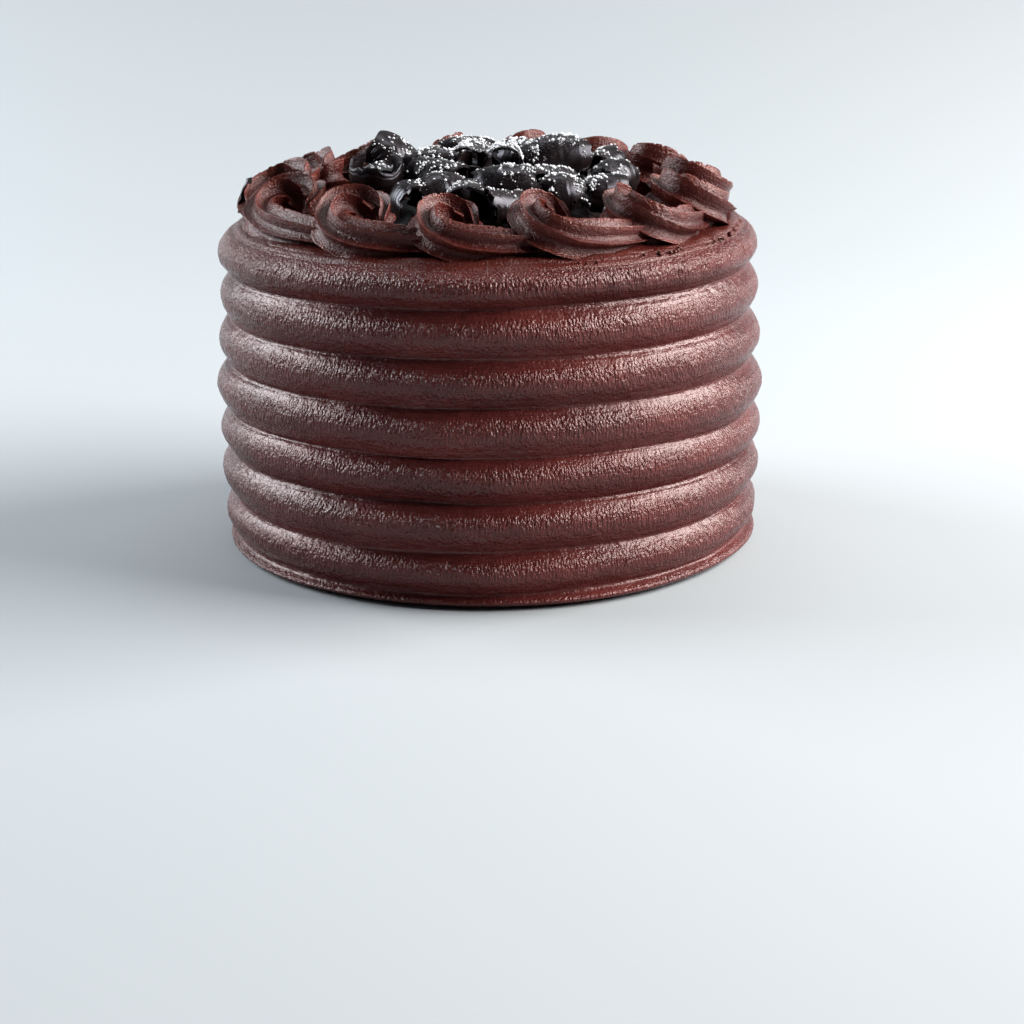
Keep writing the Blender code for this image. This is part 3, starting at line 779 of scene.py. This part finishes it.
def rolledCurl(row, seed):
    # a strip rolled about its own X axis: angle = start + sweep * i, reach = radius * (1 - tighten * i),
    # x = length * (j - 1/2) plus ragged ends; the wall runs back inside the outer face
    spec = curls
    radius, length, sweep = row[3] / 1000, row[4] / 1000, math.radians(row[5])
    share = np.linspace(0, 1, spec["around"])[None, :]
    along = np.linspace(0, 1, spec["along"])[:, None]
    flare = 0.10 * math.sin(1.7 * seed)
    sweeps = sweep * (1 + 0.05 * valueNoise(along * 4, seed * 1.7, 41))
    if row[5] < spec["flakeSweep"]:
        # it narrows to one end, and its edges break in corners
        sweeps = sweeps * (1 - 0.7 * (1 - along) ** 1.6) * (1 + 0.3 * np.abs((along * 4.4) % 2 - 1) - 0.2)
    start = math.pi / 2 - sweeps / 2
    angle = start + sweeps * share + 0.06 * valueNoise(along * 2.3, seed * 2.9, 46)
    upright = row[7] < spec["uprightPitch"]
    tighten = 0.04 if upright else 0.16 if sweep < 5.9 else 0.34
    sideOn = radius > spec["barrelFrom"] and abs(row[6]) < spec["endOnHeading"]
    barrel = spec["barrel"] if sideOn else 0.05
    ends = np.abs(2 * along - 1)
    reach = radius * (1 + flare * (2 * along - 1) - barrel * ends**2.2) * (1 - tighten * share)
    reach = reach * (1 + 0.035 * valueNoise(along * 2.0 + 11, share * 4 + seed * 3.3, 42))
    reach = reach + 0.00010 * valueNoise(along * 17, share * 2 + seed * 7.1, 43)
    jag = spec["jag"] * min(1.0, radius / 0.008)
    endLow = jag * valueNoise(share * 9, seed * 4.1, 44)
    endLow = endLow + 0.5 * jag * valueNoise(share * 21, seed * 2.2, 45)
    endHigh = jag * valueNoise(share * 8, seed * 6.3, 47)
    endHigh = endHigh + 0.5 * jag * valueNoise(share * 23, seed * 5.2, 48)
    x = length * (along - 0.5) + endLow * (1 - along) ** 3 + endHigh * along**3
    bow = 0.0008 * math.sin(2.2 * seed) * (1 - (2 * along - 1) ** 2)
    wall = spec["wall"] * (0.55 + 0.45 * np.sin(np.pi * np.clip(share, 0.02, 0.98)) ** 0.4)
    inside = reach - wall
    outer = np.stack((x + 0 * share, reach * np.cos(angle), reach * np.sin(angle) + bow), axis=2)
    inner = np.stack((x + 0 * share, inside * np.cos(angle), inside * np.sin(angle) + bow), axis=2)
    rings = np.concatenate((outer, inner[:, ::-1]), axis=1)
    turn = Euler([math.radians(row[8]), math.radians(row[7]), math.radians(row[6])], "XYZ").to_matrix()
    rings = rings @ np.array(turn).T + np.array(row[:3]) / 1000
    # a curl that would reach the swirls slides in towards the middle, and none passes the heap's top
    reachOut = np.hypot(rings[:, :, 0], rings[:, :, 1]).max()
    middle = np.hypot(row[0], row[1]) / 1000
    if reachOut > spec["reach"] and middle > 0:
        rings[:, :, :2] -= np.array(row[:2]) / 1000 / middle * (reachOut - spec["reach"])
    rings[:, :, 2] -= max(0.0, rings[:, :, 2].max() - float(cadHigh.z) + 0.0002)
    rings[:, :, 2] = np.maximum(rings[:, :, 2], cakeBody["topHeight"] + 0.0004)
    return rings


def shellFaces(rows, cols):
    # cols counts the whole loop of a rolled strip, outer face then inner face back; strips close the ends
    ring = np.arange(rows - 1)[:, None] * cols
    spoke = np.arange(cols)[None, :]
    after = (spoke + 1) % cols
    corners = (ring + spoke, ring + after, ring + cols + after, ring + cols + spoke)
    quads = np.stack(corners, axis=2).reshape(-1, 4)
    half = cols // 2
    outer = np.arange(half - 1)
    inner = cols - 1 - outer
    nearEnd = np.stack((outer, inner, inner - 1, outer + 1), axis=1)
    farEnd = nearEnd[:, ::-1] + (rows - 1) * cols
    return np.concatenate((quads, nearEnd, farEnd))


sugarShake = {"middle": (0.011, 0.002), "reach": (0.033, 0.042), "strength": 1.25}


def sugarWeight(x, y):
    # a shake of sugar over the middle of the heap and to its right, thin towards the edge:
    # strength * drift * exp(-distance^2), the distance told in reaches
    (middleX, middleY), (reachX, reachY) = sugarShake["middle"], sugarShake["reach"]
    spread = ((x - middleX) / reachX) ** 2 + ((y - middleY) / reachY) ** 2
    drift = 0.62 + 0.55 * valueNoise(x * 130 + 50, y * 130 + 50, 51)
    return np.clip(np.exp(-spread) * drift * sugarShake["strength"], 0, 1)


def gridNormals(grid):
    # cross product of the steps along and around each face of an outer surface
    normals = np.cross(np.gradient(grid, axis=0), np.gradient(grid, axis=1))
    return normals / np.maximum(np.linalg.norm(normals, axis=2, keepdims=True), 1e-12)


def makeCurls():
    # all the strips in one mesh; a point's dust is how far its face looks up times the sugar's weight there
    spec = curls
    rows = [*spec["shown"], *fillCurls(), *smallCurls()]
    grids = [rolledCurl(row, seed) for seed, row in enumerate(rows)]
    loop = 2 * spec["around"]
    faceBlock = shellFaces(spec["along"], loop)
    points = np.concatenate([grid.reshape(-1, 3) for grid in grids])
    perCurl = spec["along"] * loop
    faces, dust, shaving = [], [], []
    along = np.linspace(0, 1, spec["along"])[:, None]
    for seed, grid in enumerate(grids):
        block = facingOut(grid.reshape(-1, 3), [faceBlock])[0]
        faces.append(block + seed * perCurl)
        outer = grid[:, : spec["around"]]
        normals = gridNormals(outer)
        middle = outer.mean(axis=(0, 1))
        normals *= np.sign(((outer - middle) * normals).sum())
        upward = np.clip(normals[:, :, 2], 0, 1) ** 1.5 * sugarWeight(outer[:, :, 0], outer[:, :, 1])
        dust.append(np.concatenate((upward, np.zeros(upward.shape)), axis=1).ravel())
        marks = valueNoise(along * 60, np.zeros((1, loop)) + seed * 1.9, 49)
        shaving.append(marks.ravel())
    heap = addPiece("chocolate_curl_heap", points, [np.concatenate(faces)], curlFinish,
                    {"dust": np.concatenate(dust), "shaving": np.concatenate(shaving)}, 50)
    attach(heap, "root")
    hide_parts("chocolate_curls")
    return [grid[:, : spec["around"]] for grid in grids]


curlGrids = makeCurls()
print("curls made:", len(curlGrids))


heapCore = {"reach": 0.0490, "rise": 0.0115, "lumps": 0.0020, "around": 96}


def makeHeapCore():
    # low mound, turned: height = base + rise * (1 - share^2.6), uneven by noise
    spec = heapCore
    around = np.linspace(0, 2 * np.pi, spec["around"], endpoint=False)[None, :]
    share = np.concatenate(([1.0, 1.0], np.linspace(0.98, 0.03, 28)))[:, None]
    reach = spec["reach"] * share * (1 + 0.04 * np.sin(3 * around) + 0.03 * np.sin(7 * around + 1))
    x, y = reach * np.sin(around), -reach * np.cos(around)
    uneven = valueNoise(x * 190 + 60, y * 190 + 60, 61) * (1 - share**4)
    rise = spec["rise"] * (1 - share**2.6) + spec["lumps"] * uneven
    level = cakeBody["topHeight"] + 0.0004 + np.maximum(rise, 0)
    level[0] = cakeBody["topHeight"] + 0.0003
    rings = np.stack((x, y, level), axis=2)
    points = withPoles(rings)
    faces = facingOut(points, tubeFaces(len(rings), spec["around"]))
    zeros = np.zeros(len(points))
    core = addPiece("curl_heap_core", points, faces, curlFinish, {"dust": zeros, "shaving": zeros})
    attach(core, "root")
    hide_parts("chocolate_curls")


makeHeapCore()
print("heap core made")


sugar = {
    "mostGrains": 23000,  # never more than this; about 7,000 lie on the heap
    "smallest": 0.00013,
    "largest": 0.00064,
    "cell": 0.0012,  # the height map's cell
    "cover": 0.0022,  # a grain this far under the highest curl of its cell is dropped
}


def makeSugar():
    # eight-faced grains scattered on the upward faces; a height map drops those under another curl
    spec = sugar
    random = np.random.default_rng(71)
    every = np.concatenate([grid.reshape(-1, 3) for grid in curlGrids])
    size = int(0.13 / spec["cell"]) + 2
    highest = np.zeros((size, size))
    # the row and column of the height map under each place
    def cellOf(places):
        cells = ((places[:, :2] + 0.065) / spec["cell"]).astype(int)
        return tuple(np.clip(cells, 0, size - 1).T)
    np.maximum.at(highest, cellOf(every), every[:, 2])
    spots, directions = [], []
    for grid in curlGrids:
        normals = gridNormals(grid)
        normals *= np.sign(((grid - grid.mean(axis=(0, 1))) * normals).sum())
        rows, cols = grid.shape[:2]
        area = np.ptp(grid[:, :, 0]) * np.ptp(grid[:, :, 1])
        tries = int(min(9000, 3.2e7 * area))
        u, v = random.uniform(0, rows - 1.001, tries), random.uniform(0, cols - 1.001, tries)
        i, j = u.astype(int), v.astype(int)
        partU, partV = (u - i)[:, None], (v - j)[:, None]
        spot = (grid[i, j] * (1 - partU) * (1 - partV) + grid[i + 1, j] * partU * (1 - partV)
                + grid[i, j + 1] * (1 - partU) * partV + grid[i + 1, j + 1] * partU * partV)
        normal = normals[i, j]
        chance = np.clip(normal[:, 2], 0, 1) ** 1.3 * sugarWeight(spot[:, 0], spot[:, 1])
        clump = smoothStep(-0.05, 0.5, valueNoise(spot[:, 0] * 800 + 99, spot[:, 1] * 800 + 99, 72))
        clump = clump * smoothStep(-0.8, 0.5, valueNoise(spot[:, 0] * 260 + 99, spot[:, 1] * 260 + 99, 73))
        bare = spot[:, 2] > highest[cellOf(spot)] - spec["cover"]
        kept = (random.uniform(0, 1, tries) < chance * clump) & bare
        spots.append(spot[kept])
        directions.append(normal[kept])
    spots, directions = np.concatenate(spots), np.concatenate(directions)
    order = random.permutation(len(spots))[: spec["mostGrains"]]
    spots, directions = spots[order], directions[order]
    count = len(spots)
    scale = spec["smallest"] + (spec["largest"] - spec["smallest"]) * random.uniform(0, 1, count) ** 2.2
    corners = np.array([(1, 0, 0), (-1, 0, 0), (0, 1, 0), (0, -1, 0), (0, 0, 1), (0, 0, -1)], float)
    shapes = corners[None] * random.uniform(0.65, 1.2, (count, 6, 1)) * scale[:, None, None]
    turn = random.uniform(0, 2 * np.pi, count)
    x = shapes[:, :, 0] * np.cos(turn)[:, None] - shapes[:, :, 1] * np.sin(turn)[:, None]
    y = shapes[:, :, 0] * np.sin(turn)[:, None] + shapes[:, :, 1] * np.cos(turn)[:, None]
    middles = spots + directions * scale[:, None] * 0.45
    grains = np.stack((x, y, shapes[:, :, 2]), axis=2) + middles[:, None]
    grains[:, :, 2] = np.minimum(grains[:, :, 2], float(cadHigh.z) - 0.0001)
    eight = np.array([
        (0, 2, 4), (2, 1, 4), (1, 3, 4), (3, 0, 4),
        (2, 0, 5), (1, 2, 5), (3, 1, 5), (0, 3, 5),
    ])
    faces = (eight[None] + 6 * np.arange(count)[:, None, None]).reshape(-1, 3)
    piece = addPiece("icing_sugar", grains.reshape(-1, 3), [faces], sugarFinish)
    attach(piece, "root")
    print("sugar grains:", count)


makeSugar()


strayCurl = {
    "place": (-0.0955, 0.008, 0.1288),
    "radius": 0.0085,
    "length": 0.0125,
    "sweep": 115.0,
    "pitch": 80.0,
    "heading": -25.0,
    "wall": 0.0009,
    "along": 21,
    "around": 17,
}


def makeStrayCurl():
    # a pointed shard of a rolled strip: the half sweep shrinks towards the upper end
    spec = strayCurl
    share = np.linspace(-1, 1, spec["around"])[None, :]
    along = np.linspace(0, 1, spec["along"])[:, None]
    half = math.radians(spec["sweep"] / 2) * (1 - 0.82 * along**1.6)
    half = half * (1 + 0.1 * valueNoise(along * 7, 3.3, 81))
    angle = math.pi / 2 + half * share
    x = spec["length"] * (0.5 - along) + 0.0008 * valueNoise(share * 5, 0.0, 82) * (1 - along)
    # one face of the strip: y = reach * cos a, z = reach * sin a
    def face(reach):
        return np.stack((x + 0 * share, reach * np.cos(angle), reach * np.sin(angle)), axis=2)
    outer, inner = face(spec["radius"]), face(spec["radius"] - spec["wall"])
    rings = np.concatenate((outer, inner[:, ::-1]), axis=1)
    turn = Euler((0.0, math.radians(spec["pitch"]), math.radians(spec["heading"])), "XYZ").to_matrix()
    rings = rings @ np.array(turn).T + np.array(spec["place"])
    points = rings.reshape(-1, 3)
    faces = facingOut(points, [shellFaces(spec["along"], 2 * spec["around"])])
    zeros = np.zeros(len(points))
    values = {"dust": zeros + 0.05, "shaving": zeros}
    shard = addPiece("stray_chocolate_curl", points, faces, curlFinish, values, 50)
    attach(shard, "root")
    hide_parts("stray_curl")


makeStrayCurl()
print("stray curl made")


# plain studio

studio = {
    "floorColour": (0.39, 0.415, 0.43, 1.0),
    "skyColour": (0.60, 0.66, 0.72, 1.0),
    "skyStrength": 0.07,
}


def makeStudio():
    # one sheet for floor and wall: flat to the bend, a quarter circle, then straight up
    width = np.linspace(-3.5, 3.5, 3)[:, None]
    bend = np.linspace(0, np.pi / 2, 24)
    depth = np.concatenate(([-3.5, 0.0], 0.5 + 1.3 * np.sin(bend), [1.8]))
    height = np.concatenate(([0.0, 0.0], 1.3 * (1 - np.cos(bend)), [3.5])) - 0.0003
    grid = np.stack((width + 0 * depth, depth + 0 * width, height + 0 * width), axis=2)
    rows, cols = grid.shape[:2]
    at = np.arange(rows - 1)[:, None] * cols + np.arange(cols - 1)[None, :]
    faces = np.stack((at, at + cols, at + cols + 1, at + 1), axis=2).reshape(-1, 4)
    paper, _, shader = newFinish("studio_paper")
    shader.inputs["Base Color"].default_value = studio["floorColour"]
    shader.inputs["Roughness"].default_value = 0.9
    addPiece("studio_sweep", grid.reshape(-1, 3), [faces], paper)
    world = bpy.data.worlds.new("studio_air")
    bpy.context.scene.world = world
    world.use_nodes = True
    sky = world.node_tree.nodes["Background"]
    sky.inputs["Color"].default_value = studio["skyColour"]
    sky.inputs["Strength"].default_value = studio["skyStrength"]


# name, place, target, width, height, watts, colour
lamps = (
    ("window_right", (1.15, -0.02, 0.75), (0.0, 0.0, 0.08), 1.3, 0.7, 54.0, (1.0, 0.985, 0.97)),
    ("window_left", (-1.25, 0.45, 0.70), (0.0, 0.0, 0.08), 1.0, 0.7, 29.0, (0.90, 0.95, 1.0)),
    ("soft_top", (0.1, 0.55, 1.5), (0.0, 0.05, 0.1), 1.0, 0.4, 6.0, (0.94, 0.97, 1.0)),
)


def makeLamps():
    # soft rectangles of light, each turned from its place to its target
    for name, place, target, wide, tall, watts, colour in lamps:
        lamp = bpy.data.lights.new(name, "AREA")
        lamp.shape = "RECTANGLE"
        lamp.size, lamp.size_y = wide, tall
        lamp.energy, lamp.color = watts, colour
        holder = bpy.data.objects.new(name, lamp)
        holder.location = place
        holder.rotation_euler = (Vector(target) - Vector(place)).to_track_quat("-Z", "Y").to_euler()
        bpy.context.scene.collection.objects.link(holder)


camera = {"place": (0.0, -0.85, 0.2645), "lens": 80.0, "down": 16.96, "yaw": 0.526, "roll": -0.644}


def makeCamera():
    # looks along the direction of yaw and down, then turned about it by roll
    down, yaw, roll = (math.radians(camera[key]) for key in ("down", "yaw", "roll"))
    ahead = Vector((math.sin(yaw) * math.cos(down), math.cos(yaw) * math.cos(down), -math.sin(down)))
    right = Vector((math.cos(yaw), -math.sin(yaw), 0.0))
    up = right.cross(ahead)
    rolledRight = right * math.cos(roll) + up * math.sin(roll)
    rolledUp = up * math.cos(roll) - right * math.sin(roll)
    lens = bpy.data.cameras.new("view")
    lens.lens, lens.sensor_width = camera["lens"], 36.0
    holder = bpy.data.objects.new("view", lens)
    turn = Matrix((rolledRight, rolledUp, -ahead)).transposed().to_4x4()
    holder.matrix_world = Matrix.Translation(camera["place"]) @ turn
    bpy.context.scene.collection.objects.link(holder)
    bpy.context.scene.camera = holder


bpy.context.scene.view_settings.view_transform = "Standard"
makeStudio()
makeLamps()
makeCamera()
print("studio ready")
